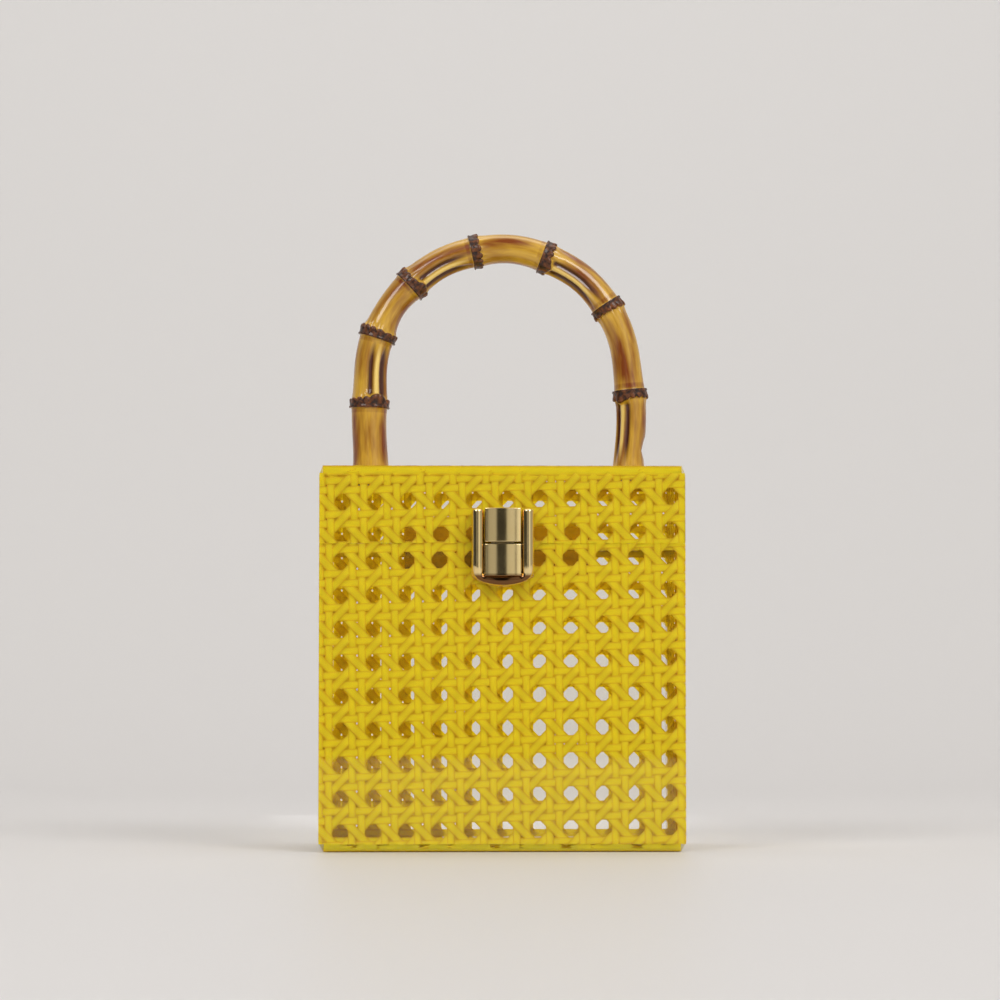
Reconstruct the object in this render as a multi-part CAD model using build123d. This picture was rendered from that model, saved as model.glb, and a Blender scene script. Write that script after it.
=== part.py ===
from build123d import *
import os
from math import atan, degrees

# An evening bag: a clear acrylic box with cane webbing laminated in every wall,
# a hinged lid, a push-button lock and a bent bamboo handle.
# The origin is the middle of the flat bottom, +Z is up, the lock faces -Y and
# the hinge is on the +Y side. All sizes are in millimetres, the lid is closed.

# Box
width = 150.0
depth = 85.0
base_height = 125.6
lid_height = 31.7
seam_gap = 0.4
edge_bevel = 0.8
bottom_bevel = 2.0
top_bevel = 1.4

# Wall laminate: clear sheet, four layers of cane, clear sheet
sheet = 1.2
strand_thick = 0.45
strand_width = 2.8

# Cane lattice: strands run in pairs, the octagonal gaps lie between the pairs
pitch_across = 13.47
pitch_up = 13.9
pair_spacing = 3.95
base_row_drop = 5.6
lid_row_rise = 4.5
sliver_area = 34.0

# Hinge
hinge_length = 80.0
leaf_thick = 0.7
leaf_height = 10.0
leaf_gap = 0.2
knuckle_radius = 1.8
knuckle_count = 3
pin_radius = 0.8
pin_clearance = 0.05
turning_clearance = 0.35

# Lock
lock_width = 25.4
lock_rise = 14.1
lock_drop = 17.8
lock_depth = 7.2
lock_floor = 0.8
lock_standoff = 0.4
lock_sagitta = 4.0
lock_rim = 1.0
lock_bevel = 3.3
rail_width = 4.9
rail_round = 2.2
band_height = 3.8
slide_clearance = 0.4
button_travel = 0.8
button_thick = 1.2
button_crown = 0.8
button_height = 13.0
leg_width = 2.2
leg_height = 6.0
lip_reach = 0.8
bar_thick = 0.6
nib_size = 1.6
nib_reach = 0.5
tab_thick = 0.7
tab_drop = 12.0
tab_clearance = 0.3
spring_thick = 0.3
spring_width = 3.0
plate_gap = 0.9
prong_width = 4.6
prong_thick = 0.8
prong_reach = 3.0
hole_clearance = 0.1
backing_width = 16.0
backing_height = 9.0
backing_thick = 0.8

# Handle: the feet and the node rings of the bamboo, as shares of half the bag's width
left_foot_share = -0.747
right_foot_share = 0.713
ring_across_shares = (-0.757, -0.711, -0.503, -0.137, 0.259, 0.601, 0.721)
ring_heights = (28.5, 58.0, 79.9, 93.1, 90.0, 68.9, 32.7)
culm_radius_left = 7.1
culm_radius_right = 6.4
waist_girth_share = 0.94
flare_girth_share = 1.04
ring_rise = 1.0
ring_width = 4.2
ring_flat_share = 0.8
screw_radius = 1.75
screw_grip = 14.0
screw_head_radius = 4.5
screw_head_height = 2.2

# Places worked out from the sizes above
mat = 4 * strand_thick
wall = 2 * sheet + mat
half_width = width / 2
half_depth = depth / 2
seam = base_height + seam_gap / 2
lid_rim = base_height + seam_gap
total_height = lid_rim + lid_height
lid_underside = total_height - wall
base_row = base_height - base_row_drop
lid_row = lid_rim + lid_row_rise
side_width = depth - 2 * wall
lock_top = seam + lock_rise
lock_bottom = seam - lock_drop
band_top = lock_bottom + band_height
hinge_y = half_depth + knuckle_radius + turning_clearance
left_foot = left_foot_share * half_width
right_foot = right_foot_share * half_width
handle_middle = (left_foot + right_foot) / 2

# Each wall is drawn on its outer face, seen from outside, so +z leaves the bag
front = Plane((0, -half_depth, 0), x_dir=(1, 0, 0), z_dir=(0, -1, 0))
back = Plane((0, half_depth, 0), x_dir=(-1, 0, 0), z_dir=(0, 1, 0))
right = Plane((half_width, 0, 0), x_dir=(0, 1, 0), z_dir=(1, 0, 0))
left = Plane((-half_width, 0, 0), x_dir=(0, -1, 0), z_dir=(-1, 0, 0))
bottom = Plane((0, 0, 0), x_dir=(1, 0, 0), z_dir=(0, 0, -1))
top = Plane((0, 0, total_height), x_dir=(1, 0, 0), z_dir=(0, 0, 1))

nodes = {}


def rectangle(low_x, high_x, low_y, high_y):
    middle = Pos((low_x + high_x) / 2, (low_y + high_y) / 2)
    return middle * Rectangle(high_x - low_x, high_y - low_y)


def cane(plane, outline, gap_across, gap_up):
    """Four layers of straight strands, cut to the outline, around octagonal gaps."""
    reach = width + total_height
    slope = degrees(atan(pitch_up / pitch_across))
    step = pitch_across * pitch_up / (pitch_across**2 + pitch_up**2) ** 0.5
    steps = range(-int(reach / step), int(reach / step) + 1)
    strip = Rectangle(reach, strand_width)
    middle = Pos(gap_across, gap_up)
    layers = [[], [], [], []]
    for i in steps:
        layers[0].append(middle * Rot(0, 0, slope) * Pos(0, (i + 1 / 2) * step) * strip)
        layers[3].append(middle * Rot(0, 0, -slope) * Pos(0, (i + 1 / 2) * step) * strip)
        for side in (-1, 1):
            shift = side * pair_spacing / 2
            layers[1].append(middle * Pos(0, (i + 1 / 2) * pitch_up + shift) * strip)
            upright = Pos((i + 1 / 2) * pitch_across + shift, 0) * Rot(0, 0, 90)
            layers[2].append(middle * upright * strip)
    box = outline.bounding_box()
    strands = []
    for level, strips in enumerate(layers):
        face_plane = plane.offset(-sheet - level * strand_thick)
        for flat in strips:
            size = flat.bounding_box()
            if size.min.X > box.max.X or size.max.X < box.min.X:
                continue
            if size.min.Y > box.max.Y or size.max.Y < box.min.Y:
                continue
            cut = flat & outline
            for face in cut.faces() if cut else []:
                if face.area > sliver_area:
                    strands += extrude(face_plane * face, -strand_thick).solids()
    return Compound(children=strands)


def wall_panel(name, plane, outline, gaps, cuts=None, bevelled=False):
    """One flat wall: two clear sheets with the cane between them."""
    outer = extrude(plane * outline, -sheet)
    if bevelled:
        outer_edges = outer.edges().filter_by(Axis.Z)
        outward = Axis(plane.origin, plane.z_dir)
        outer = chamfer(outer_edges.group_by(outward)[-1], edge_bevel)
    inner = extrude(plane.offset(-sheet - mat) * outline, -sheet)
    if cuts:
        through = extrude(plane * cuts, -wall)
        outer -= through
        inner -= through
        outline -= cuts
    nodes[f"{name}_outer_sheet"] = outer
    nodes[f"{name}_cane"] = cane(plane, outline, *gaps)
    nodes[f"{name}_inner_sheet"] = inner


def end_panel(name, plane, bevel, gaps, holes=None):
    """The bottom or top: full size where it meets the walls, bevelled to its face."""
    slant = degrees(atan(bevel / wall))

    def outline(inward):
        inset = bevel * (1 - inward / wall)
        blank = Rectangle(width - 2 * inset, depth - 2 * inset)
        return chamfer(blank.vertices(), edge_bevel)

    layers = {"outer": sheet, "inner": wall}
    for layer, inward in layers.items():
        plate = extrude(plane.offset(-inward) * outline(inward), sheet, taper=slant)
        if holes:
            plate -= extrude(plane * holes, -wall)
        nodes[f"{name}_{layer}_sheet"] = plate
    nodes[f"{name}_cane"] = cane(plane, outline(sheet), *gaps)


# Back walls: rebates in the rims for the hinge leaves
rebate = leaf_thick + leaf_gap / 2 - seam_gap / 2
half_rebate = hinge_length / 2 + leaf_gap
base_rebate = rectangle(-half_rebate, half_rebate, base_height - rebate, base_height)
lid_rebate = rectangle(-half_rebate, half_rebate, lid_rim, lid_rim + rebate)

# Front walls: one slot each, in a gap of the cane, for the prongs of the lock and the tongue
prong_slot = Rectangle(prong_width + 2 * hole_clearance, 2 * prong_thick + 2 * hole_clearance)
lock_slot = Pos(0, base_row) * prong_slot
tongue_slot = Pos(0, lid_row) * prong_slot


def prongs(row):
    """Two flat prongs, put through the wall and folded flat over the backing plate."""
    folded = front.offset(-wall - backing_thick)
    stem = Pos(0, row) * Rectangle(prong_width, 2 * prong_thick)
    arms = Pos(0, row) * Rectangle(prong_width, 2 * prong_thick + 2 * prong_reach)
    return extrude(front * stem, -wall - backing_thick) + extrude(folded * arms, -prong_thick)


# Base: four walls on the bottom panel
base_wide = rectangle(-half_width, half_width, wall, base_height)
base_side = rectangle(-side_width / 2, side_width / 2, wall, base_height)
on_gap = (0, base_row)
off_gap = (pitch_across / 2, base_row)
wall_panel("base_front", front, base_wide, on_gap, lock_slot, bevelled=True)
wall_panel("base_back", back, base_wide, off_gap, base_rebate, bevelled=True)
wall_panel("base_left", left, base_side, on_gap)
wall_panel("base_right", right, base_side, on_gap)
end_panel("base_bottom", bottom, bottom_bevel, (0, 0))

# Lid: four walls under the top panel, which the handle's screws go through
lid_wide = rectangle(-half_width, half_width, lid_rim, lid_underside)
lid_side = rectangle(-side_width / 2, side_width / 2, lid_rim, lid_underside)
lid_on_gap = (0, lid_row)
lid_off_gap = (pitch_across / 2, lid_row)
screw_hole = Circle(screw_radius + hole_clearance)
screw_holes = Sketch() + [Pos(x, 0) * screw_hole for x in (left_foot, right_foot)]
wall_panel("lid_front", front, lid_wide, lid_on_gap, tongue_slot, bevelled=True)
wall_panel("lid_back", back, lid_wide, lid_off_gap, lid_rebate, bevelled=True)
wall_panel("lid_left", left, lid_side, lid_on_gap)
wall_panel("lid_right", right, lid_side, lid_on_gap)
end_panel("lid_top", top, top_bevel, (handle_middle, 0), screw_holes)

# Hinge: leaves bonded inside, cranked through the seam to a barrel behind the bag
barrel = Plane((-hinge_length / 2, hinge_y, seam), x_dir=(0, 1, 0), z_dir=(1, 0, 0))
knuckle_length = hinge_length / knuckle_count
leaf_back = -turning_clearance - knuckle_radius - wall
leaf_root = -(knuckle_radius + pin_radius + pin_clearance) / 2
bore = extrude(barrel * Circle(pin_radius + pin_clearance), hinge_length)


def hinge_leaf(side, first):
    """side is -1 for the base leaf under the seam, 1 for the lid leaf over it."""
    near = leaf_gap / 2
    bend = near + leaf_thick
    tip = seam_gap / 2 + leaf_height
    corners = [
        (leaf_root, near),
        (leaf_back - leaf_thick, near),
        (leaf_back - leaf_thick, tip),
        (leaf_back, tip),
        (leaf_back, bend),
        (leaf_root, bend),
    ]
    strip = make_face(Polyline([(y, side * z) for y, z in corners], close=True))
    leaf = extrude(barrel * strip, hinge_length)
    for i in range(knuckle_count):
        start = i * knuckle_length
        if i % 2 == first:
            own = barrel.offset(start + leaf_gap / 2) * Circle(knuckle_radius)
            leaf += extrude(own, knuckle_length - leaf_gap)
        else:
            relief = rectangle(-knuckle_radius - turning_clearance, 0, -tip, tip)
            leaf -= extrude(barrel.offset(start - leaf_gap / 2) * relief, knuckle_length + leaf_gap)
    return leaf - bore


nodes["hinge_base_leaf"] = hinge_leaf(-1, first=0)
nodes["hinge_lid_leaf"] = hinge_leaf(1, first=1)
nodes["hinge_pin"] = extrude(barrel * Circle(pin_radius), hinge_length)

# Lock body: a block with an arched, bevelled foot and two round-topped rails
half_lock = lock_width / 2
channel = half_lock - rail_width
arc_radius = (half_lock**2 + lock_sagitta**2) / (2 * lock_sagitta)
arc_middle = lock_bottom + arc_radius
section = Plane((0, -half_depth, lock_bottom), x_dir=(1, 0, 0), z_dir=(0, 0, 1))
rail_length = lock_top - lock_bottom
block = rectangle(-half_lock, half_lock, -lock_depth, 0)
block -= rectangle(-channel, channel, -lock_depth, -lock_floor)
block = fillet(block.vertices().group_by(Axis.Y)[0], rail_round)
lock_body = extrude(section * block, rail_length)
band = rectangle(-half_lock, half_lock, lock_bottom, band_top)
lock_body += extrude(front * band, lock_depth - rail_round / 2)
foot = Pos(0, arc_middle) * Circle(arc_radius)
bevel_angle = degrees(atan(lock_bevel / (lock_depth - lock_rim)))
foot_block = extrude(front * foot, lock_rim)
foot_block += extrude(front.offset(lock_rim) * foot, lock_depth - lock_rim, taper=bevel_angle)
lock_body &= foot_block
upper = rectangle(-half_lock, half_lock, base_height, lock_top)
lock_body -= extrude(front * upper, lock_standoff)
lock_body -= extrude(front * rectangle(-channel, channel, base_height, lock_top), lock_depth)

# Grooves in the rails keep the button in; the prongs fix the lock to the wall
plate_back = lock_floor + spring_thick + button_travel
bar_front = plate_back + bar_thick
half_button = channel - slide_clearance
button_low = band_top + slide_clearance
button_high = button_low + button_height
button_middle = (button_low + button_high) / 2
leg_low = base_row - leg_height
groove = half_button + lip_reach + slide_clearance
groove_low = leg_low - slide_clearance
groove_slot = rectangle(-groove, groove, groove_low, base_row + slide_clearance)
groove_cut = extrude(front.offset(lock_floor) * groove_slot, bar_front + hole_clearance - lock_floor)
lock_body -= groove_cut
nodes["lock_body"] = lock_body + prongs(base_row)

# Button: a crowned plate on a stirrup, whose rear bar passes behind the tongue
tab_back = bar_front + nib_reach + tab_clearance
tab_front = tab_back + tab_thick
plate_front = tab_front + button_travel + slide_clearance


def crowned_plate(low, high, start):
    """A plate whose face bulges a little across its width."""
    face = start - button_thick
    corners = [(-half_button, face), (-half_button, start), (half_button, start), (half_button, face)]
    crown = ThreePointArc(corners[3], (0, face - button_crown), corners[0])
    foot = Plane((0, -half_depth, low), x_dir=(1, 0, 0), z_dir=(0, 0, 1))
    return extrude(foot * make_face(Polyline(corners) + crown), high - low)


button = crowned_plate(button_low, button_high, -plate_front)
for side in (-1, 1):
    inside = side * (half_button - leg_width)
    ends = sorted([inside, side * half_button])
    leg = rectangle(*ends, leg_low, base_row)
    button += extrude(front.offset(plate_back) * leg, plate_front - plate_back)
bar = rectangle(-half_button - lip_reach, half_button + lip_reach, leg_low, base_row)
button += extrude(front.offset(plate_back) * bar, bar_thick)
nib_low = (leg_low + base_row) / 2 - nib_size / 2
nib = rectangle(-nib_size, nib_size, nib_low, nib_low + nib_size)
button += extrude(front.offset(bar_front) * nib, nib_reach)
nodes["lock_button"] = button

# Spring: a bowed steel strip between the lock's floor and the button's bar
spring_half = half_button - leg_width
spring_bow = plate_back - lock_floor - spring_thick
bow_low = -lock_floor
bow = ThreePointArc((-spring_half, bow_low), (0, bow_low - spring_bow), (spring_half, bow_low))
strip_end = bow_low - spring_thick
bow_top = ThreePointArc((spring_half, strip_end), (0, strip_end - spring_bow), (-spring_half, strip_end))
strip_edges = bow + Line(bow @ 1, bow_top @ 0) + bow_top + Line(bow_top @ 1, bow @ 0)
spring_low = (leg_low + base_row - spring_width) / 2
spring_plane = Plane((0, -half_depth, spring_low), x_dir=(1, 0, 0), z_dir=(0, 0, 1))
nodes["lock_spring"] = extrude(spring_plane * make_face(strip_edges), spring_width)

# Tongue: the lid's plate between the rails, with a tab that hangs into the lock
tongue_low = button_high + plate_gap
tongue = crowned_plate(tongue_low, lock_top, -plate_front)
tongue += extrude(front * rectangle(-half_button, half_button, tongue_low, lock_top), plate_front)
half_tab = half_button - leg_width - slide_clearance
tab = rectangle(-half_tab, half_tab, tongue_low - tab_drop, tongue_low)
window = rectangle(-nib_size - slide_clearance, nib_size + slide_clearance,
                   nib_low - slide_clearance, nib_low + nib_size + slide_clearance)
tongue += extrude(front.offset(tab_back) * (tab - window), tab_thick)
nodes["lock_tongue"] = tongue + prongs(lid_row)

# Backing plates on the inside of the front walls, under the folded prongs
inside_front = front.offset(-wall)
plate_blank = Rectangle(backing_width, backing_height) - prong_slot
lock_plate = Pos(0, base_row) * plate_blank
lock_plate &= rectangle(-half_width, half_width, 0, base_height - seam_gap)
tongue_plate = Pos(0, lid_row) * plate_blank
tongue_plate &= rectangle(-half_width, half_width, lid_rim + seam_gap, total_height)
nodes["lock_backing_plate"] = extrude(inside_front * lock_plate, -backing_thick)
nodes["tongue_backing_plate"] = extrude(inside_front * tongue_plate, -backing_thick)

# Bamboo handle: one culm bent over, thick at the left foot and thinner at the right.
# Between two rings it narrows to a waist, and at a ring it stands proud
route = [(left_foot, 0)]
route += [(share * half_width, height) for share, height in zip(ring_across_shares, ring_heights)]
route += [(right_foot, 0)]
points = [Vector(x, 0, total_height + height) for x, height in route]
bend = Spline(points, tangents=[(0, 0, 1), (0, 0, -1)])
places = [bend.param_at_point(p) for p in points]
half_ring = ring_width / 2 / bend.length
ring_profile = [(-1, 0), (-ring_flat_share, ring_rise), (ring_flat_share, ring_rise), (1, 0)]


def culm_section(along, share, rise=0):
    radius = culm_radius_left + (culm_radius_right - culm_radius_left) * along
    plane = Plane(bend @ along, x_dir=(0, 1, 0), z_dir=bend % along)
    return plane * Circle(radius * share + rise)


sections = [culm_section(0, flare_girth_share)]
for start, ring in zip(places, places[1:]):
    sections.append(culm_section((start + ring) / 2, waist_girth_share))
    if ring < places[-1]:
        for offset, rise in ring_profile:
            sections.append(culm_section(ring + offset * half_ring, flare_girth_share, rise))
sections.append(culm_section(places[-1], flare_girth_share))
handle = loft(sections, ruled=True)

# Hex-headed screws come up through the lid's top into the feet of the handle
screws = []
for x in (left_foot, right_foot):
    pilot = Pos(x, 0) * Circle(screw_radius + hole_clearance)
    handle -= extrude(top * pilot, screw_grip + hole_clearance)
    seat = top.offset(-wall) * Pos(x, 0)
    screw = extrude(seat * Circle(screw_radius), wall + screw_grip)
    screws.append(screw + extrude(seat * RegularPolygon(screw_head_radius, 6), -screw_head_height))
nodes["bamboo_handle"] = handle
nodes["handle_screws"] = Compound(children=screws)

os.makedirs("parts", exist_ok=True)
for name, node in nodes.items():
    export_step(node, f"parts/{name}.step")
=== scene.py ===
import math

import bmesh
import bpy
from mathutils import Matrix, Vector


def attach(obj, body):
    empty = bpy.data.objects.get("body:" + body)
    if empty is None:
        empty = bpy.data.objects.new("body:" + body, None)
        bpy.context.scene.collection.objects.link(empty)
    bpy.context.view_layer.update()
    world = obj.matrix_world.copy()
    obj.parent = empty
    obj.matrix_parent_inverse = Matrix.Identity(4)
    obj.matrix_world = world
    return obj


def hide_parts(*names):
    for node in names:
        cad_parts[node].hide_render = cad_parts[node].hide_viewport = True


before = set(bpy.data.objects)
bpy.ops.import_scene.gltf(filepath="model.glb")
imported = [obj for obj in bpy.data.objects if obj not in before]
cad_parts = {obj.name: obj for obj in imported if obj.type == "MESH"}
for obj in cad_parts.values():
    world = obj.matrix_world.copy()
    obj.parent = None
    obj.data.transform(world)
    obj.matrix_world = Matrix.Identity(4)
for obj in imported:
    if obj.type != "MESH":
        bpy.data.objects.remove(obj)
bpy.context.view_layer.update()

# Studio: a pale paper sweep that rises behind the bag, soft light from large boxes in front and
# above, a small lamp that lights the bag's back wall, and a long lens just over the table, turned
# a little up and to the right.
mm = 0.001
scene = bpy.context.scene
scene.view_settings.view_transform = "Standard"

long_lens = bpy.data.cameras.new("long_lens")
long_lens.sensor_width = 36
long_lens.lens = 123.84
camera = bpy.data.objects.new("camera", long_lens)
scene.collection.objects.link(camera)
camera.location = (-37.0 * mm, -1447.5 * mm, 68.3 * mm)
camera.rotation_euler = (math.radians(93.06), 0, math.radians(-1.466))
scene.camera = camera


class Shade:
    """A shader socket that takes part in sums. Its node() makes any other kind of node."""

    def __init__(self, tree, socket=None):
        self.tree = tree
        self.socket = socket

    def node(self, kind, settings=None, inputs=None, out=0):
        made = self.tree.nodes.new(kind)
        for key, value in (settings or {}).items():
            if key == "stops":
                stops = made.color_ramp.elements
                while len(stops) < len(value):
                    stops.new(0.5)
                for stop, (place, colour) in zip(stops, value):
                    stop.position = place
                    stop.color = colour
            else:
                setattr(made, key, value)
        for key, value in (inputs or {}).items():
            if isinstance(value, Shade):
                self.tree.links.new(value.socket, made.inputs[key])
            else:
                made.inputs[key].default_value = value
        return Shade(self.tree, made.outputs[out])

    def sum(self, operation, first, second=0.0):
        return self.node("ShaderNodeMath", {"operation": operation}, {0: first, 1: second})

    def __add__(self, other):
        return self.sum("ADD", self, other)

    __radd__ = __add__

    def __sub__(self, other):
        return self.sum("SUBTRACT", self, other)

    def __rsub__(self, other):
        return self.sum("SUBTRACT", other, self)

    def __mul__(self, other):
        return self.sum("MULTIPLY", self, other)

    __rmul__ = __mul__

    def __pow__(self, other):
        return self.sum("POWER", self, other)

    def __abs__(self):
        return self.sum("ABSOLUTE", self)

    def clamped(self):
        return self.sum("MINIMUM", self.sum("MAXIMUM", self, 0.0), 1.0)

    def blend(self, first, second):
        """A colour between first and second, by this socket as the factor."""
        colours = {"Factor": self, 6: first, 7: second}
        return self.node("ShaderNodeMix", {"data_type": "RGBA"}, colours, out=2)

    def noise(self, scale, detail=3.0):
        """Noise from 0 to 1 at the place that this socket holds."""
        return self.node("ShaderNodeTexNoise", None, {"Vector": self, "Scale": scale, "Detail": detail})

    def stretched(self, along, across, through=1.0):
        factors = (along, across, through)
        return self.node("ShaderNodeVectorMath", {"operation": "MULTIPLY"}, {0: self, 1: factors})

    def bump(self, strength, depth):
        values = {"Strength": strength, "Distance": depth, "Height": self}
        return self.node("ShaderNodeBump", None, values)

    def surface(self, shader):
        output = self.tree.nodes.new("ShaderNodeOutputMaterial")
        self.tree.links.new(shader.socket, output.inputs["Surface"])


def new_finish(name):
    material = bpy.data.materials.new(name)
    material.use_nodes = True
    material.node_tree.nodes.clear()
    return material, Shade(material.node_tree)


def dye(red, green, blue):
    """A colour written as it is seen on a screen, from 0 to 255."""
    parts = [part / 255 for part in (red, green, blue)]
    parts = [part / 12.92 if part < 0.04045 else ((part + 0.055) / 1.055) ** 2.4 for part in parts]
    return (*parts, 1.0)


def fresh(piece_name):
    """Names the object that was just added."""
    piece = bpy.context.object
    piece.name = piece_name
    piece.data.name = piece_name
    return piece


def pick(piece, test):
    """Selects the vertices whose place passes the test, in edit mode."""
    mesh = bmesh.from_edit_mesh(piece.data)
    for vertex in mesh.verts:
        vertex.select = test(vertex.co)
    mesh.select_flush(True)
    mesh.select_flush(False)
    bmesh.update_edit_mesh(piece.data)


bpy.ops.object.select_all(action="DESELECT")
bpy.context.tool_settings.mesh_select_mode = (True, False, False)

sweep_near, sweep_far, sweep_rise = 1.8, 1.8, 3.5
bpy.ops.mesh.primitive_plane_add(size=1, location=(0, 0, 0))
sweep = fresh("paper_sweep")
bpy.ops.object.mode_set(mode="EDIT")
bpy.ops.transform.resize(value=(9, sweep_near + sweep_far, 1), center_override=(0, 0, 0))
bpy.ops.transform.translate(value=(0, (sweep_far - sweep_near) / 2, -0.2 * mm))
pick(sweep, lambda place: place.y > sweep_far - 0.01)
bpy.ops.mesh.extrude_region_move(TRANSFORM_OT_translate={"value": (0, 0, sweep_rise)})
pick(sweep, lambda place: place.y > sweep_far - 0.01 and place.z < 0.01)
bpy.ops.mesh.bevel(offset=1.1, segments=24, affect="EDGES")
bpy.ops.object.mode_set(mode="OBJECT")
bpy.ops.object.shade_smooth()
paper, shade = new_finish("paper")
fibre = shade.node("ShaderNodeTexCoord", out="Object").noise(900.0)
paper_tone = fibre.blend(dye(212, 209, 207), dye(215, 212, 210))
shade.surface(shade.node("ShaderNodeBsdfPrincipled", None, {"Base Color": paper_tone, "Roughness": 0.5}))
sweep.data.materials.append(paper)


def softbox(name, place, aim, size, power, spread=180):
    lamp = bpy.data.lights.new(name, "AREA")
    lamp.shape = "RECTANGLE"
    lamp.size, lamp.size_y = size
    lamp.energy = power
    lamp.spread = math.radians(spread)
    box = bpy.data.objects.new(name, lamp)
    scene.collection.objects.link(box)
    box.location = place
    box.rotation_euler = (Vector(aim) - Vector(place)).to_track_quat("-Z", "Y").to_euler()
    return box


softbox("softbox_left", (-2.2, -3.1, 2.7), (0, 0, 0.12), (1.8, 1.8), 76)
softbox("softbox_right", (2.2, -3.1, 2.7), (0, 0, 0.12), (1.8, 1.8), 76)
softbox("softbox_above", (0, 0.4, 2.2), (0, 0.4, 0), (2.4, 1.0), 14)
kicker = softbox("kicker", (0, 0.36, 0.1), (0, 0, 0.1), (0.22, 0.2), 0.16, 60)
kicker.visible_camera = False
kicker.visible_glossy = False

world = bpy.data.worlds.new("studio_air")
world.use_nodes = True
world.node_tree.nodes.clear()
scene.world = world
air = Shade(world.node_tree)
bearing = air.node("ShaderNodeTexCoord", out="Generated")
aside = air.node("ShaderNodeSeparateXYZ", None, {0: bearing}, out="X")
ahead = air.node("ShaderNodeSeparateXYZ", None, {0: bearing}, out="Y")
panels = [(-1.0, 0.12), (-0.95, 0.05), (-0.42, 0.05), (-0.38, 0.35), (-0.34, 0.06), (-0.31, 0.42),
          (-0.14, 0.46), (-0.11, 0.035), (0.1, 0.04), (0.13, 0.55), (0.3, 0.62), (0.33, 0.06),
          (0.36, 0.8), (0.6, 0.85), (0.75, 0.4), (1.0, 0.4)]
panel_stops = [(place * 0.5 + 0.5, (level, level * 0.98, level * 0.94, 1)) for place, level in panels]
room = air.node("ShaderNodeValToRGB", {"stops": panel_stops}, {0: aside * 0.5 + 0.5})
behind = (ahead * 4.0 + 0.5).clamped()
room_tone = behind.blend(room, (0.5, 0.48, 0.46, 1))
ambient = air.node("ShaderNodeBackground", None, {"Color": room_tone, "Strength": 1.0})
air_output = world.node_tree.nodes.new("ShaderNodeOutputWorld")
world.node_tree.links.new(ambient.socket, air_output.inputs["Surface"])

# Base shell: four walls and a bottom of clear acrylic, cemented into one polished box. The
# upright corners are broken, and the bottom edge is cut back in a tall bevel.
width, depth = 150.0 * mm, 85.0 * mm
base_height, lid_rim, total_height = 125.6 * mm, 126.0 * mm, 157.7 * mm
wall, sheet, cane_mat = 4.2 * mm, 1.2 * mm, 1.8 * mm
shy = 0.02 * mm
corner_break = 0.8 * mm


def clear_box(name, low, high, outer_level, bevel):
    """A box open at the rim: outer_level is the closed end, bevelled by bevel over one wall."""
    bpy.ops.object.select_all(action="DESELECT")
    bpy.ops.mesh.primitive_cube_add(size=1, location=(0, 0, 0))
    box = fresh(name)
    bpy.ops.object.mode_set(mode="EDIT")
    bpy.ops.transform.resize(value=(width - 2 * shy, depth - 2 * shy, high - low), center_override=(0, 0, 0))
    bpy.ops.transform.translate(value=(0, 0, (low + high) / 2))
    mesh = bmesh.from_edit_mesh(box.data)
    for edge in mesh.edges:
        upright = abs(edge.verts[0].co.z - edge.verts[1].co.z) > (high - low) / 2
        edge.select_set(upright)
    bmesh.update_edit_mesh(box.data)
    bpy.ops.mesh.bevel(offset=corner_break, segments=2, affect="EDGES")
    inward = 1 if outer_level == low else -1
    bpy.ops.mesh.select_all(action="SELECT")
    bpy.ops.mesh.bisect(plane_co=(0, 0, outer_level + inward * wall), plane_no=(0, 0, 1))
    pick(box, lambda place: abs(place.z - outer_level) < shy)
    shares = (1 - 2 * bevel / width, 1 - 2 * bevel / depth, 1)
    bpy.ops.transform.resize(value=shares, center_override=(0, 0, outer_level))
    rim = high if outer_level == low else low
    pick(box, lambda place: abs(place.z - rim) < shy)
    bpy.ops.mesh.inset(thickness=wall - 2 * shy, depth=0)
    floor = outer_level + inward * (wall - shy)
    bpy.ops.mesh.extrude_region_move(TRANSFORM_OT_translate={"value": (0, 0, floor - rim)})
    bpy.ops.mesh.select_all(action="SELECT")
    bpy.ops.mesh.normals_make_consistent(inside=False)
    bpy.ops.object.mode_set(mode="OBJECT")
    bpy.ops.object.shade_smooth_by_angle(angle=math.radians(25))
    return box


def clear_of_hinge(box, low, high):
    """Cuts the rebate that lets a hinge leaf pass through the rim of the back wall."""
    bpy.ops.object.select_all(action="DESELECT")
    bpy.ops.mesh.primitive_cube_add(size=1, location=(0, depth / 2 - wall / 2, (low + high) / 2))
    cutter = fresh("rebate")
    cutter.scale = (80.4 * mm, 3 * wall, high - low)
    bpy.ops.object.transform_apply(location=True, rotation=True, scale=True)
    cut = box.modifiers.new("rebate", "BOOLEAN")
    cut.operation = "DIFFERENCE"
    cut.object = cutter
    bpy.ops.object.select_all(action="DESELECT")
    bpy.context.view_layer.objects.active = box
    bpy.ops.object.modifier_apply(modifier=cut.name)
    bpy.data.objects.remove(cutter)


acrylic, shade = new_finish("clear_acrylic")
haze = shade.node("ShaderNodeTexCoord", out="Object").noise(60.0)
passing = shade.node("ShaderNodeBsdfTransparent", None, {"Color": (0.995, 0.99, 0.975, 1)})
polish = shade.node("ShaderNodeBsdfGlossy", None, {"Color": (1, 1, 1, 1), "Roughness": haze * 0.04})
grazing = shade.node("ShaderNodeLayerWeight", None, {"Blend": 0.5}, out="Facing")
mirrored = grazing ** 5.0 * 0.9 + 0.025
shade.surface(shade.node("ShaderNodeMixShader", None, {0: mirrored, 1: passing, 2: polish}))

base_walls = ("base_front", "base_back", "base_left", "base_right", "base_bottom")
base_shell = clear_box("base_shell", shy, base_height - shy, shy, 2.0 * mm)
clear_of_hinge(base_shell, base_height - 0.6 * mm, base_height + 0.2 * mm)
base_shell.data.materials.append(acrylic)
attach(base_shell, "base")
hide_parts(*[f"{name}_{side}_sheet" for name in base_walls for side in ("outer", "inner")])

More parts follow.
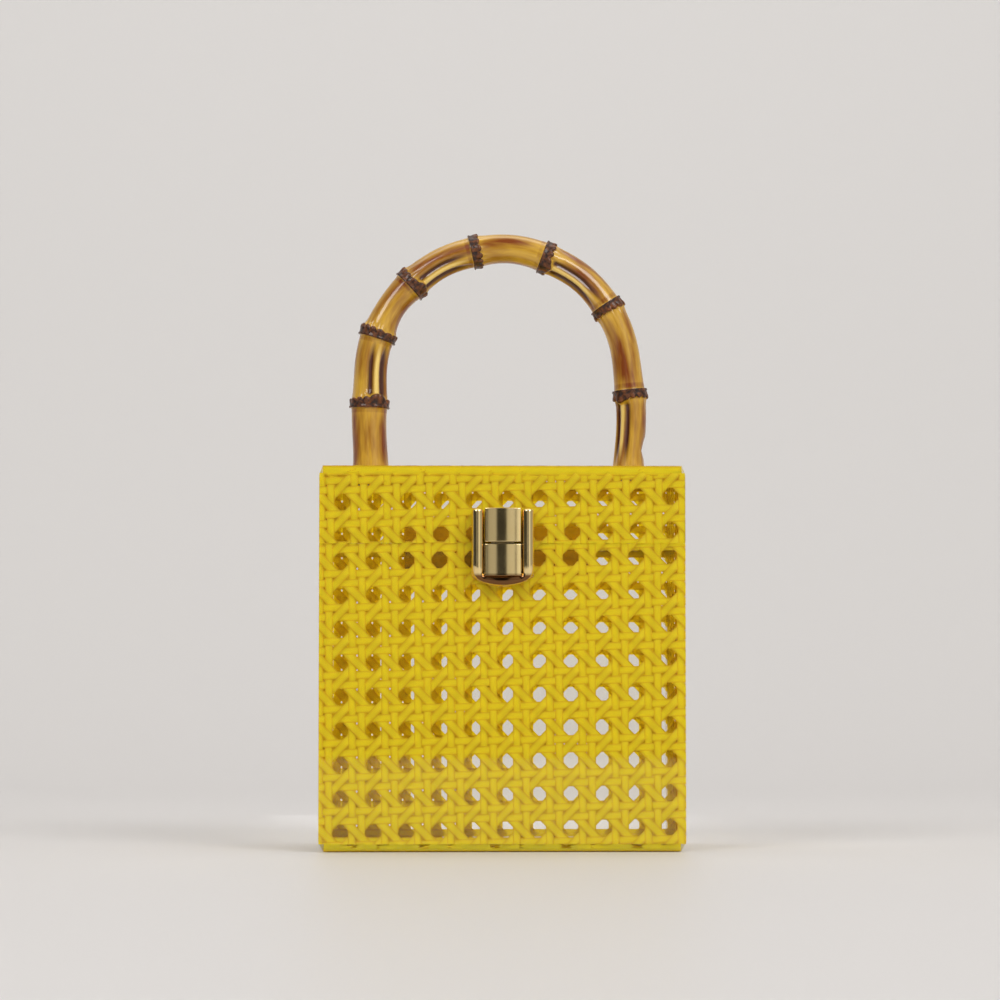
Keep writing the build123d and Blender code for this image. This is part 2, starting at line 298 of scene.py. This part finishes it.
# Base webbing: dyed cane woven as chair caning is, with pairs of uprights and cross strands and
# two diagonals that leave eight-sided gaps. A mat lies in the middle of each wall's thickness.
pair_spacing = 3.85 * mm
strand_thick = 0.42 * mm
strand_crown = 0.1 * mm
pair_swing = 0.27 * mm
diagonal_swing = 0.5 * mm
over_under = (0, 0.2, 0.6, 1, 0, -1, -0.6, -0.2, 0)
long_wave = (1, 0.9, 0, -0.9, -1, -0.9, 0, 0.9, 1)


def strand_repeat(name, strand_width, levels, swing):
    """One repeat of a strand along x, one unit long, that rises and dips at its crossings."""
    bpy.ops.object.select_all(action="DESELECT")
    steps = len(levels) - 1
    bpy.ops.mesh.primitive_grid_add(x_subdivisions=steps, y_subdivisions=2, size=1)
    repeat = fresh(name)
    bpy.ops.object.mode_set(mode="EDIT")
    bpy.ops.transform.resize(value=(1, strand_width, 1), center_override=(0, 0, 0))
    pick(repeat, lambda place: abs(place.y) < strand_width / 4)
    bpy.ops.transform.translate(value=(0, 0, strand_crown))
    for column, level in enumerate(levels):
        along = column / steps - 0.5
        pick(repeat, lambda place: abs(place.x - along) < 0.25 / steps)
        bpy.ops.transform.translate(value=(0, 0, level * swing))
    bpy.ops.mesh.select_all(action="SELECT")
    bpy.ops.transform.translate(value=(0.5, 0, 0))
    bpy.ops.object.mode_set(mode="OBJECT")
    return repeat


under_over = tuple(-level for level in over_under)
dipped_wave = tuple(-level for level in long_wave)
upright_left = strand_repeat("upright_left", 3.2 * mm, under_over, pair_swing)
upright_right = strand_repeat("upright_right", 3.2 * mm, over_under, pair_swing)
cross_lower = strand_repeat("cross_lower", 3.2 * mm, over_under, pair_swing)
cross_upper = strand_repeat("cross_upper", 3.2 * mm, under_over, pair_swing)
rising = strand_repeat("rising", 3.5 * mm, dipped_wave, diagonal_swing)
falling = strand_repeat("falling", 3.5 * mm, long_wave, diagonal_swing)
hem_width = 2.9 * mm
hem = strand_repeat("hem", hem_width, (0, 0.2, 0, -0.2, 0), pair_swing)
binder = strand_repeat("binder", hem_width, (0, 0.9, 0.2, -0.7, -0.2, 0.5, -0.4, -0.1, 0), pair_swing)
strand_repeats = [upright_left, upright_right, cross_lower, cross_upper, rising, falling, hem, binder]
hem_depth = -0.55 * mm


def lay(repeat, start, turn, step, count, shift, lines):
    """Runs a repeat on to a whole strand, lays it in lines side by side, and turns it to its place."""
    strand = repeat.copy()
    strand.data = repeat.data.copy()
    scene.collection.objects.link(strand)
    strand.data.transform(Matrix.Scale(step, 4, (1, 0, 0)))
    bpy.ops.object.select_all(action="DESELECT")
    bpy.context.view_layer.objects.active = strand
    strand.select_set(True)
    run = strand.modifiers.new("run", "ARRAY")
    run.count = count
    run.use_relative_offset = False
    run.use_constant_offset = True
    run.constant_offset_displace = (step, 0, 0)
    run.use_merge_vertices = True
    run.merge_threshold = 0.01 * mm
    body = strand.modifiers.new("body", "SOLIDIFY")
    body.thickness = strand_thick
    body.offset = 0
    rows = strand.modifiers.new("rows", "ARRAY")
    rows.count = lines
    rows.use_relative_offset = False
    rows.use_constant_offset = True
    rows.constant_offset_displace = shift
    for name in ("run", "body", "rows"):
        bpy.ops.object.modifier_apply(modifier=name)
    strand.data.transform(Matrix.Translation(start) @ Matrix.Rotation(turn, 4, "Z"))
    return strand


def webbing(name, body, across, up, gap, pitch, skew, place, hems=(), posts=()):
    """A mat of cane cut to a wall, drawn flat as it is seen from outside and then put in place.

    The strands behind its cut edges run across at the heights in hems, and up at the places in posts.
    """
    pitch_across, pitch_up = pitch
    reach = abs(skew) * (across[1] - across[0])
    columns = math.ceil((across[1] - across[0]) / pitch_across) + 3
    rows = math.ceil((up[1] - up[0] + 2 * reach) / pitch_up) + 3
    left = gap[0] + (math.floor((across[0] - gap[0]) / pitch_across) - 1) * pitch_across
    low = gap[1] + (math.floor((up[0] - reach - gap[1]) / pitch_up) - 1) * pitch_up
    half_pair = pair_spacing / 2
    first_upright = left + pitch_across / 2
    first_cross = low + pitch_up / 2
    quarter = math.pi / 2
    slope = math.atan2(pitch_up, pitch_across)
    slant = math.hypot(pitch_across, pitch_up)
    lines = columns + rows
    begin = first_upright - rows * pitch_across
    rising_shift = Matrix.Rotation(-slope, 3, "Z") @ Vector((pitch_across, 0, 0))
    falling_shift = Matrix.Rotation(slope, 3, "Z") @ Vector((pitch_across, 0, 0))
    side_shift, up_shift = (0, -pitch_across, 0), (0, pitch_up, 0)
    top = low + rows * pitch_up
    strands = [
        lay(upright_left, (first_upright - half_pair, low, 0), quarter, pitch_up, rows, side_shift, columns),
        lay(upright_right, (first_upright + half_pair, low, 0), quarter, pitch_up, rows, side_shift, columns),
        lay(cross_lower, (left, first_cross - half_pair, 0), 0, pitch_across, columns, up_shift, rows),
        lay(cross_upper, (left, first_cross + half_pair, 0), 0, pitch_across, columns, up_shift, rows),
        lay(rising, (begin, low, 0), slope, slant, rows, rising_shift, lines),
        lay(falling, (begin, top, 0), -slope, slant, rows, falling_shift, lines),
    ]
    lean = Matrix.Identity(4)
    lean[1][0] = skew
    for strand in strands:
        strand.data.transform(lean)
    for height in hems:
        strands.append(lay(hem, (left, height, hem_depth), 0, pitch_across, columns, up_shift, 1))
    for aside in posts:
        strands.append(lay(hem, (aside, low, hem_depth), quarter, pitch_up, rows, side_shift, 1))
    bpy.ops.object.select_all(action="DESELECT")
    for strand in strands:
        strand.select_set(True)
    bpy.context.view_layer.objects.active = strands[0]
    bpy.ops.object.join()
    mat = fresh(name)
    bpy.ops.object.mode_set(mode="EDIT")
    for edge, facing in (((across[0], 0, 0), (-1, 0, 0)), ((across[1], 0, 0), (1, 0, 0)),
                         ((0, up[0], 0), (0, -1, 0)), ((0, up[1], 0), (0, 1, 0))):
        bpy.ops.mesh.select_all(action="SELECT")
        bpy.ops.mesh.bisect(plane_co=edge, plane_no=facing, use_fill=True, clear_outer=True)
    bpy.ops.object.mode_set(mode="OBJECT")
    mat.data.transform(place)
    bpy.ops.object.shade_smooth_by_angle(angle=math.radians(35))
    mat.data.materials.append(yellow_cane)
    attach(mat, body)
    return mat


def wall_place(across, up, out, middle):
    """The place of a wall: where its across, up and outward directions point, and its middle plane."""
    turn = Matrix((across, up, out)).transposed().to_4x4()
    return Matrix.Translation(Vector(out) * middle) @ turn


def edging(name, body, low, high, inset):
    """Four flat strips of cane on edge, behind the bevels of the bottom or the top."""
    sides = [((1, 0, 0), (0, -1, 0), width, depth), ((-1, 0, 0), (0, 1, 0), width, depth),
             ((0, 1, 0), (1, 0, 0), depth, width), ((0, -1, 0), (-1, 0, 0), depth, width)]
    strips = []
    for along, out, length, span in sides:
        step = (length - 2 * inset) / 5
        strip = lay(binder, (-2.5 * step, 0, 0), 0, step, 5, (0, 0, 0), 1)
        taller = Matrix.Scale((high - low) / hem_width, 4, (0, 1, 0))
        raised = Matrix.Translation((0, (low + high) / 2, 0))
        strip.data.transform(wall_place(along, (0, 0, 1), out, span / 2 - inset) @ raised @ taller)
        strips.append(strip)
    bpy.ops.object.select_all(action="DESELECT")
    for strip in strips:
        strip.select_set(True)
    bpy.context.view_layer.objects.active = strips[0]
    bpy.ops.object.join()
    binding = fresh(name)
    bpy.ops.object.shade_smooth_by_angle(angle=math.radians(35))
    binding.data.materials.append(yellow_cane)
    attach(binding, body)


yellow_cane, shade = new_finish("yellow_cane")
strand_map = shade.node("ShaderNodeTexCoord", out="UV")
bag_place = shade.node("ShaderNodeTexCoord", out="Object")
beside = shade.node("ShaderNodeSeparateXYZ", None, {0: strand_map}, out="Y")
# Painted shade: each strand is painted darker amber towards both edges, standing in for the shading of its
# rounded sides and the shadows between strands.
rim = (abs(beside - 0.5) * 2.0) ** 3.0
grain = ((strand_map.stretched(2.0, 14.0).noise(1.0, 3.0) - 0.3) * 2.5).clamped()
patches = bag_place.noise(95.0, 2.0)
cane_tone = patches.blend(dye(248, 237, 8), dye(244, 229, 2))
cane_tone = (grain * 0.7).blend(cane_tone, dye(248, 246, 40))
streaks = ((strand_map.stretched(1.2, 9.0).noise(1.7, 2.0) - 0.5) * 4.0).clamped()
cane_tone = (streaks * 0.5).blend(cane_tone, dye(216, 170, 0))
cane_tone = (rim * 0.8).blend(cane_tone, dye(194, 132, 0))
cane_values = {"Base Color": cane_tone, "Roughness": grain * 0.18 + 0.38,
               "Normal": grain.bump(0.25, 0.05 * mm)}
skin = shade.node("ShaderNodeBsdfPrincipled", None, cane_values)
glow = shade.node("ShaderNodeBsdfTranslucent", None, {"Color": dye(252, 220, 10)})
cane_face = shade.node("ShaderNodeMixShader", None, {0: 0.47, 1: skin, 2: glow})
leaving = shade.node("ShaderNodeBsdfTransparent", None, {"Color": (1, 1, 1, 1)})
within = shade.node("ShaderNodeNewGeometry", out="Backfacing")
shade.surface(shade.node("ShaderNodeMixShader", None, {0: within, 1: cane_face, 2: leaving}))

wide_middle = depth / 2 - sheet - cane_mat / 2
side_middle = width / 2 - sheet - cane_mat / 2
front_place = wall_place((1, 0, 0), (0, 0, 1), (0, -1, 0), wide_middle)
back_place = wall_place((-1, 0, 0), (0, 0, 1), (0, 1, 0), wide_middle)
right_place = wall_place((0, 1, 0), (0, 0, 1), (1, 0, 0), side_middle)
left_place = wall_place((0, -1, 0), (0, 0, 1), (-1, 0, 0), side_middle)

trim = 0.08 * mm
half_wide = width / 2 - trim
half_side = depth / 2 - sheet - cane_mat - trim
seam_reach = 0.18 * mm
base_up = (sheet + cane_mat + trim, base_height + seam_reach)
front_pitch = (13.44 * mm, 13.84 * mm)
back_pitch = (13.2 * mm, 14.0 * mm)
base_row = 119.5 * mm
base_hems = (base_up[0] + 1.3 * mm, base_up[1] - 1.3 * mm)
weave_lean = math.tan(math.radians(1.1))

base_front_webbing = webbing("base_front_webbing", "base", (-half_wide, half_wide), base_up,
                             (1.1 * mm, base_row), front_pitch, weave_lean, front_place, base_hems)
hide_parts("base_front_cane")
base_back_webbing = webbing("base_back_webbing", "base", (-half_wide, half_wide), base_up,
                            (-5.3 * mm, base_row), back_pitch, 0.0, back_place, base_hems)
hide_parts("base_back_cane")
base_left_webbing = webbing("base_left_webbing", "base", (-half_side, half_side), base_up, (0, base_row),
                            front_pitch, 0.0, left_place, base_hems)
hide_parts("base_left_cane")
base_right_webbing = webbing("base_right_webbing", "base", (-half_side, half_side), base_up, (0, base_row),
                             front_pitch, 0.0, right_place, base_hems)
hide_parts("base_right_cane")
bottom_place = wall_place((1, 0, 0), (0, -1, 0), (0, 0, -1), -sheet - cane_mat / 2)
bottom_inset = 2.2 * mm
bottom_across = width / 2 - bottom_inset
bottom_up = depth / 2 - bottom_inset
base_bottom_webbing = webbing("base_bottom_webbing", "base", (-bottom_across, bottom_across),
                              (-bottom_up, bottom_up), (0, 0), front_pitch, 0.0, bottom_place,
                              (1.3 * mm - bottom_up, bottom_up - 1.3 * mm),
                              (1.3 * mm - bottom_across, bottom_across - 1.3 * mm))
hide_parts("base_bottom_cane")
edging("base_bottom_edging", "base", 0.2 * mm, 4.1 * mm, 2.4 * mm)

# Hinge: two cranked leaves of plated sheet metal, bonded to the inside of the back walls, and a
# pin through the rolled knuckles behind the seam.
gold, shade = new_finish("gold_plating")
metal_place = shade.node("ShaderNodeTexCoord", out="Object")
handling = metal_place.noise(140.0, 4.0)
gold_tone = handling.blend(dye(240, 212, 150), dye(248, 224, 166))
facing = shade.node("ShaderNodeTexCoord", out="Normal")
backward = shade.node("ShaderNodeSeparateXYZ", None, {0: facing}, out="Y")
level = shade.node("ShaderNodeSeparateXYZ", None, {0: metal_place}, out="Z")
# Painted shade: below the top of the lock's foot, plating that faces forward is painted dark brown in place
# of the dark that the foot's bead reflects.
foot_shade_top, foot_shade_fade = 113.46 * mm, 1.282 * mm
below = (foot_shade_top - level) * (1 / foot_shade_fade)
painted_foot_shade = below.clamped() * (backward * -5.0 - 2.5).clamped()
gold_tone = painted_foot_shade.blend(gold_tone, dye(120, 84, 52))
gold_values = {"Base Color": gold_tone, "Metallic": 1.0, "Roughness": handling * 0.1 + 0.06}
shade.surface(shade.node("ShaderNodeBsdfPrincipled", None, gold_values))


def refinish(material, *names):
    """Gives the solids of a CAD node their finish."""
    for name in names:
        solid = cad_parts[name].data
        solid.materials.clear()
        solid.materials.append(material)


refinish(gold, "hinge_base_leaf", "hinge_lid_leaf", "hinge_pin")

# Lock: a cast body of plated zinc, edged by one round bead that runs down a rail, round the arched
# foot and up the other rail. The button slides between the rails over a bowed steel spring, and the
# tongue comes down from the lid.
steel, shade = new_finish("plain_steel")
rubbed = shade.node("ShaderNodeTexCoord", out="Object").stretched(40.0, 900.0, 900.0).noise(1.0, 3.0)
steel_tone = rubbed.blend(dye(176, 176, 174), dye(200, 199, 196))
steel_values = {"Base Color": steel_tone, "Metallic": 1.0, "Roughness": rubbed * 0.15 + 0.25}
shade.surface(shade.node("ShaderNodeBsdfPrincipled", None, steel_values))
refinish(steel, "lock_spring", "lock_backing_plate", "tongue_backing_plate", "handle_screws")


def softened(node, body, bevel):
    """A plated casting: a solid with its edges rounded as polishing leaves them."""
    bpy.ops.object.select_all(action="DESELECT")
    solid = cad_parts[node]
    casting = bpy.data.objects.new(f"{node}_casting", solid.data.copy())
    scene.collection.objects.link(casting)
    casting.data.materials.clear()
    bpy.context.view_layer.objects.active = casting
    casting.select_set(True)
    bpy.ops.object.mode_set(mode="EDIT")
    bpy.ops.mesh.select_all(action="SELECT")
    bpy.ops.mesh.remove_doubles(threshold=0.002 * mm)
    bpy.ops.mesh.dissolve_limited(angle_limit=math.radians(1))
    bpy.ops.object.mode_set(mode="OBJECT")
    edges = casting.modifiers.new("edges", "BEVEL")
    edges.width = bevel
    edges.segments = 3
    edges.limit_method = "ANGLE"
    edges.angle_limit = math.radians(35)
    bpy.ops.object.modifier_apply(modifier="edges")
    bpy.ops.object.shade_smooth_by_angle(angle=math.radians(30))
    flats = casting.modifiers.new("flats", "WEIGHTED_NORMAL")
    flats.keep_sharp = True
    bpy.ops.object.modifier_apply(modifier="flats")
    casting.data.materials.append(gold)
    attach(casting, body)
    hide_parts(node)
    return casting


lock_body_casting = softened("lock_body", "base", 0.45 * mm)
softened("lock_button", "button", 0.32 * mm)
softened("lock_tongue", "lid", 0.32 * mm)

# The bead is a tapered tube with domed ends. The casting's own rails are set back under it.
lock_top, lock_bottom = 139.9 * mm, 108.0 * mm
rail_across, rail_radius, rail_front = 10.25 * mm, 2.45 * mm, 7.2 * mm
foot_radius, foot_inside, dome = 22.16 * mm, 112.7 * mm, 1.3 * mm
rail_seat, rail_set_back = 4.4 * mm, 0.45
for vertex in lock_body_casting.data.vertices:
    proud = -vertex.co.y - depth / 2 - rail_seat
    vertex.co.y += max(0.0, proud) * rail_set_back
    vertex.co.z = min(vertex.co.z, lock_top - 0.9 * dome)

bead_half = []
for step in range(7):
    across = 7.8 * mm * step / 6
    outline = lock_bottom + foot_radius - math.sqrt(foot_radius ** 2 - across ** 2)
    bead_half.append((across, (outline + foot_inside) / 2, (foot_inside - outline) / 2))
bead_half += [(9.0 * mm, 111.75 * mm, 1.8 * mm), (9.75 * mm, 112.6 * mm, 2.0 * mm),
              (10.1 * mm, 113.6 * mm, 2.25 * mm), (rail_across, 115.0 * mm, 2.42 * mm),
              (rail_across, 117.0 * mm, rail_radius)]
for step in range(9):
    turn = math.pi / 2 * step / 8.05
    bead_half.append((rail_across, lock_top - dome + dome * math.sin(turn), rail_radius * math.cos(turn)))
bead_points = [(-across, level, girth) for across, level, girth in bead_half[:0:-1]] + bead_half
bead_curve = bpy.data.curves.new("lock_bead", "CURVE")
bead_curve.dimensions = "3D"
bead_curve.bevel_depth = 1.0
bead_curve.bevel_resolution = 10
bead_curve.use_fill_caps = True
bead_line = bead_curve.splines.new("POLY")
bead_line.points.add(len(bead_points) - 1)
for point, (across, level, girth) in zip(bead_line.points, bead_points):
    point.co = (across, -depth / 2 - rail_front + rail_radius, level, 1)
    point.radius = girth
lock_bead = bpy.data.objects.new("lock_bead", bead_curve)
scene.collection.objects.link(lock_bead)
bpy.ops.object.select_all(action="DESELECT")
bpy.context.view_layer.objects.active = lock_bead
lock_bead.select_set(True)
bpy.ops.object.convert(target="MESH")
bpy.ops.object.shade_smooth()
lock_bead.data.materials.append(gold)
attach(lock_bead, "base")

# Lid shell and webbing: made as the base is, the other way up. The strands were cut where the lid
# was sawn off, so the rows start again above the seam.
lid_walls = ("lid_front", "lid_back", "lid_left", "lid_right", "lid_top")
lid_shell = clear_box("lid_shell", lid_rim + shy, total_height - shy, total_height - shy, 1.4 * mm)
clear_of_hinge(lid_shell, lid_rim - 0.2 * mm, lid_rim + 0.6 * mm)
lid_shell.data.materials.append(acrylic)
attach(lid_shell, "lid")
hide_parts(*[f"{name}_{side}_sheet" for name in lid_walls for side in ("outer", "inner")])

lid_up = (lid_rim - seam_reach, total_height - sheet - cane_mat - trim)
lid_row = 130.0 * mm
lid_hems = (lid_up[0] - 0.7 * mm, lid_up[1] - 1.3 * mm)
lid_front_webbing = webbing("lid_front_webbing", "lid", (-half_wide, half_wide), lid_up,
                            (1.75 * mm, lid_row), front_pitch, weave_lean, front_place, lid_hems)
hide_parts("lid_front_cane")
lid_back_webbing = webbing("lid_back_webbing", "lid", (-half_wide, half_wide), lid_up,
                           (-5.3 * mm, lid_row), back_pitch, 0.0, back_place, lid_hems)
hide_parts("lid_back_cane")
lid_left_webbing = webbing("lid_left_webbing", "lid", (-half_side, half_side), lid_up, (0, lid_row),
                           front_pitch, 0.0, left_place, lid_hems)
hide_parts("lid_left_cane")
lid_right_webbing = webbing("lid_right_webbing", "lid", (-half_side, half_side), lid_up, (0, lid_row),
                            front_pitch, 0.0, right_place, lid_hems)
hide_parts("lid_right_cane")
top_place = wall_place((1, 0, 0), (0, 1, 0), (0, 0, 1), total_height - sheet - cane_mat / 2)
top_inset = 1.6 * mm
top_across = width / 2 - top_inset
top_up = depth / 2 - top_inset
lid_top_webbing = webbing("lid_top_webbing", "lid", (-top_across, top_across), (-top_up, top_up),
                          (-1.3 * mm, 0), front_pitch, 0.0, top_place,
                          (1.3 * mm - top_up, top_up - 1.3 * mm),
                          (1.3 * mm - top_across, top_across - 1.3 * mm))
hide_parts("lid_top_cane")
edging("lid_top_edging", "lid", total_height - 4.1 * mm, total_height - 0.25 * mm, 1.8 * mm)
for repeat in strand_repeats:
    bpy.data.objects.remove(repeat)

# Handle: one length of bamboo, bent over heat and lacquered, with seven dark node rings. Every
# other internode has a grooved side, and screws from inside the lid hold both feet.
bend_points = [(-54.4, 0.0), (-55.0, 28.5), (-51.5, 57.6), (-37.2, 79.3), (-10.3, 93.1),
               (19.6, 90.5), (45.6, 69.2), (55.0, 32.6), (54.3, 0.0)]
knot_radii = (7.7, 7.5, 7.1, 6.7, 6.4, 6.3, 6.2, 6.4, 6.8)
waist_radii = (7.25, 6.95, 6.1, 6.3, 6.1, 6.1, 6.0, 6.3)
bend_curve = bpy.data.curves.new("handle_bend", "CURVE")
bend_curve.dimensions = "3D"
bend_curve.resolution_u = 48
bend_line = bend_curve.splines.new("BEZIER")
bend_line.bezier_points.add(len(bend_points) - 1)
for knot, (across, rise) in zip(bend_line.bezier_points, bend_points):
    knot.co = (across * mm, 0, total_height + rise * mm)
    knot.handle_left_type = "AUTO"
    knot.handle_right_type = "AUTO"
bend = bpy.data.objects.new("handle_bend", bend_curve)
scene.collection.objects.link(bend)
bpy.context.view_layer.update()
for knot, upward in ((bend_line.bezier_points[0], 1), (bend_line.bezier_points[-1], -1)):
    knot.handle_left_type = "FREE"
    knot.handle_right_type = "FREE"
    knot.handle_right = knot.co + Vector((0, 0, upward * 10 * mm))
    knot.handle_left = knot.co - Vector((0, 0, upward * 10 * mm))
bpy.context.view_layer.update()
bend_trace = bpy.data.meshes.new_from_object(bend)
traced = [vertex.co.copy() for vertex in bend_trace.vertices]
runs = [0.0]
for near, far in zip(traced, traced[1:]):
    runs.append(runs[-1] + (far - near).length)
culm_length = runs[-1]
spots = [runs[index * 48] for index in range(len(bend_points))]
bpy.data.meshes.remove(bend_trace)

ring_profile = [(-2.1, 0.1), (-1.95, 0.95), (-1.5, 1.1), (-1.0, 0.8), (-0.2, 0.85), (0.7, 1.0), (1.4, 1.05),
                (1.9, 0.8), (2.1, 0.1)]
half_ring = 2.1 * mm
span_shares = (0.08, 0.18, 0.3, 0.42, 0.5, 0.58, 0.7, 0.82, 0.92)

stations = [(0.0, knot_radii[0] * mm)]
for index, waist in enumerate(waist_radii):
    start = spots[index] + (half_ring if index else 0)
    end = spots[index + 1] - (half_ring if index < len(waist_radii) - 1 else 0)
    for share in span_shares:
        knot_radius = knot_radii[index] if share < 0.5 else knot_radii[index + 1]
        flare = abs(2 * share - 1) ** 2.2
        stations.append((start + (end - start) * share, (waist + (knot_radius - waist) * flare) * mm))
    if index < len(waist_radii) - 1:
        for offset, rise in ring_profile:
            stations.append((spots[index + 1] + offset * mm, (knot_radii[index + 1] + rise) * mm))
stations.append((culm_length, knot_radii[-1] * mm))

bpy.ops.object.select_all(action="DESELECT")
bpy.ops.mesh.primitive_circle_add(vertices=144, radius=stations[0][1], fill_type="NGON")
culm = fresh("bamboo_culm")
bpy.ops.object.mode_set(mode="EDIT")
bpy.ops.transform.rotate(value=math.pi / 2, orient_axis="Y", center_override=(0, 0, 0))
for (near, girth), (far, next_girth) in zip(stations, stations[1:]):
    bpy.ops.mesh.extrude_region_move(TRANSFORM_OT_translate={"value": (far - near, 0, 0)})
    change = next_girth / girth
    bpy.ops.transform.resize(value=(1, change, change), center_override=(far, 0, 0))
bpy.ops.mesh.select_all(action="SELECT")
bpy.ops.mesh.normals_make_consistent(inside=False)
bpy.ops.object.mode_set(mode="OBJECT")

# The carving of the culm: turn is 0 towards the front of the bag and grows towards the inside of
# the bend. Root buds scallop the far edge of each ring, and two furrows leave a rib between them.
furrows = {1: 0.42, 3: 0.62, 5: 0.62, 7: 0.72}
buds = 14
for name in ("ring_mark", "bud_mark", "span_mark", "furrow_mark", "rib_mark"):
    culm.data.attributes.new(name, "FLOAT", "POINT")
culm.data.attributes.new("culm_place", "FLOAT_VECTOR", "POINT")
ring_mark = culm.data.attributes["ring_mark"].data
bud_mark = culm.data.attributes["bud_mark"].data
span_mark = culm.data.attributes["span_mark"].data
furrow_mark = culm.data.attributes["furrow_mark"].data
rib_mark = culm.data.attributes["rib_mark"].data
culm_place = culm.data.attributes["culm_place"].data


def swell(distance, reach):
    return math.exp(-(distance / reach) ** 2)


for vertex in culm.data.vertices:
    along = vertex.co.x
    turn = math.atan2(-vertex.co.y, vertex.co.z)
    out = Vector((0, vertex.co.y, vertex.co.z))
    out.normalize()
    culm_place[vertex.index].vector = vertex.co
    nearest = min(range(1, len(spots) - 1), key=lambda index: abs(spots[index] - along))
    offset = (along - spots[nearest]) / half_ring
    if abs(offset) < 1.01:
        swing = buds * turn / 2 + 0.5 * math.sin(3 * turn + nearest) + nearest
        bud = abs(math.cos(swing)) ** 0.6 * (0.8 + 0.2 * math.sin(2 * turn + 1.7 * nearest))
        pad = swell(turn - furrows[nearest], 0.36) if nearest in furrows else 0.0
        forward = max(0.0, offset + 0.25)
        vertex.co += out * ((0.7 * (bud - 0.6) * min(1.0, forward * 1.6) + 0.5 * pad) * mm)
        vertex.co.x += forward * ((bud - 0.6) * 1.2 * (1 - pad) + 1.5 * pad) * mm
        ring_mark[vertex.index].value = 1.0 if -0.99 < offset < 0.99 else 0.0
        bud_mark[vertex.index].value = bud * min(1.0, forward * 1.4) * (1 - 0.7 * pad)
        continue
    span = max(index for index in range(len(spots) - 1) if spots[index] <= along + half_ring / 50)
    share = (along - spots[span]) / (spots[span + 1] - spots[span])
    span_mark[vertex.index].value = share
    if span in furrows:
        fade = min(1.0, (1 - share) * 2.6) * min(1.0, share * 9.0)
        side = turn - furrows[span]
        depth_here = swell(side - 0.46, 0.25) + 0.85 * swell(side + 0.4, 0.2)
        vertex.co -= out * (1.4 * mm * depth_here * fade)
        furrow_mark[vertex.index].value = min(1.0, depth_here * fade)
        rib_mark[vertex.index].value = swell(side, 0.17) * fade
    if span == 7:
        notch = swell(culm_length - along - 10.0 * mm, 3.2 * mm) * swell(turn + math.pi / 2, 0.7)
        vertex.co -= out * (1.5 * mm * notch)

follow = culm.modifiers.new("follow", "CURVE")
follow.object = bend
follow.deform_axis = "POS_X"
bpy.context.view_layer.objects.active = culm
bpy.ops.object.modifier_apply(modifier="follow")
bpy.data.objects.remove(bend)
bpy.ops.object.shade_smooth_by_angle(angle=math.radians(50))

bamboo, shade = new_finish("lacquered_bamboo")


def mark(name, out="Fac"):
    return shade.node("ShaderNodeAttribute", {"attribute_name": name}, out=out)


straight = mark("culm_place", "Vector")
fibres = ((straight.stretched(50.0, 900.0, 900.0).noise(1.0, 4.0) - 0.3) * 2.0).clamped()
clouds = straight.stretched(40.0, 210.0, 210.0).noise(1.0, 3.0)
near_ring = (abs(mark("span_mark") - 0.5) * 2.0) ** 3.0
burnish = (clouds * 3.2 - 1.05 - near_ring * 0.7).clamped()
culm_tone = burnish.blend(dye(214, 168, 56), dye(126, 58, 4))
culm_tone = (fibres * 0.35).blend(culm_tone, dye(132, 66, 4))
# Painted highlight and shade: the rib between the furrows is painted pale cream, and each furrow is painted
# dark brown, darkest where it is cut deepest.
culm_tone = ((mark("rib_mark") - 0.2) * 1.6).clamped().blend(culm_tone, dye(244, 212, 122))
culm_tone = ((mark("furrow_mark") - 0.15) * 1.8).clamped().blend(culm_tone, dye(74, 28, 4))
scorch = straight.noise(620.0, 4.0)
ring_tone = ((scorch - 0.42) * 2.6 + mark("bud_mark") * 0.3).clamped().blend(dye(40, 16, 5), dye(134, 74, 26))
ring = mark("ring_mark")
bamboo_values = {
    "Base Color": ring.blend(culm_tone, ring_tone),
    "Roughness": ring * 0.15 + 0.3 + fibres * 0.06,
    "Normal": (scorch * ring + fibres * 0.04).bump(0.8, 0.5 * mm),
    "Specular IOR Level": 0.3,
    "Coat Weight": 0.7 - ring * 0.35,
    "Coat Roughness": 0.05,
}
shade.surface(shade.node("ShaderNodeBsdfPrincipled", None, bamboo_values))
culm.data.materials.append(bamboo)
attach(culm, "lid")
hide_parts("bamboo_handle")
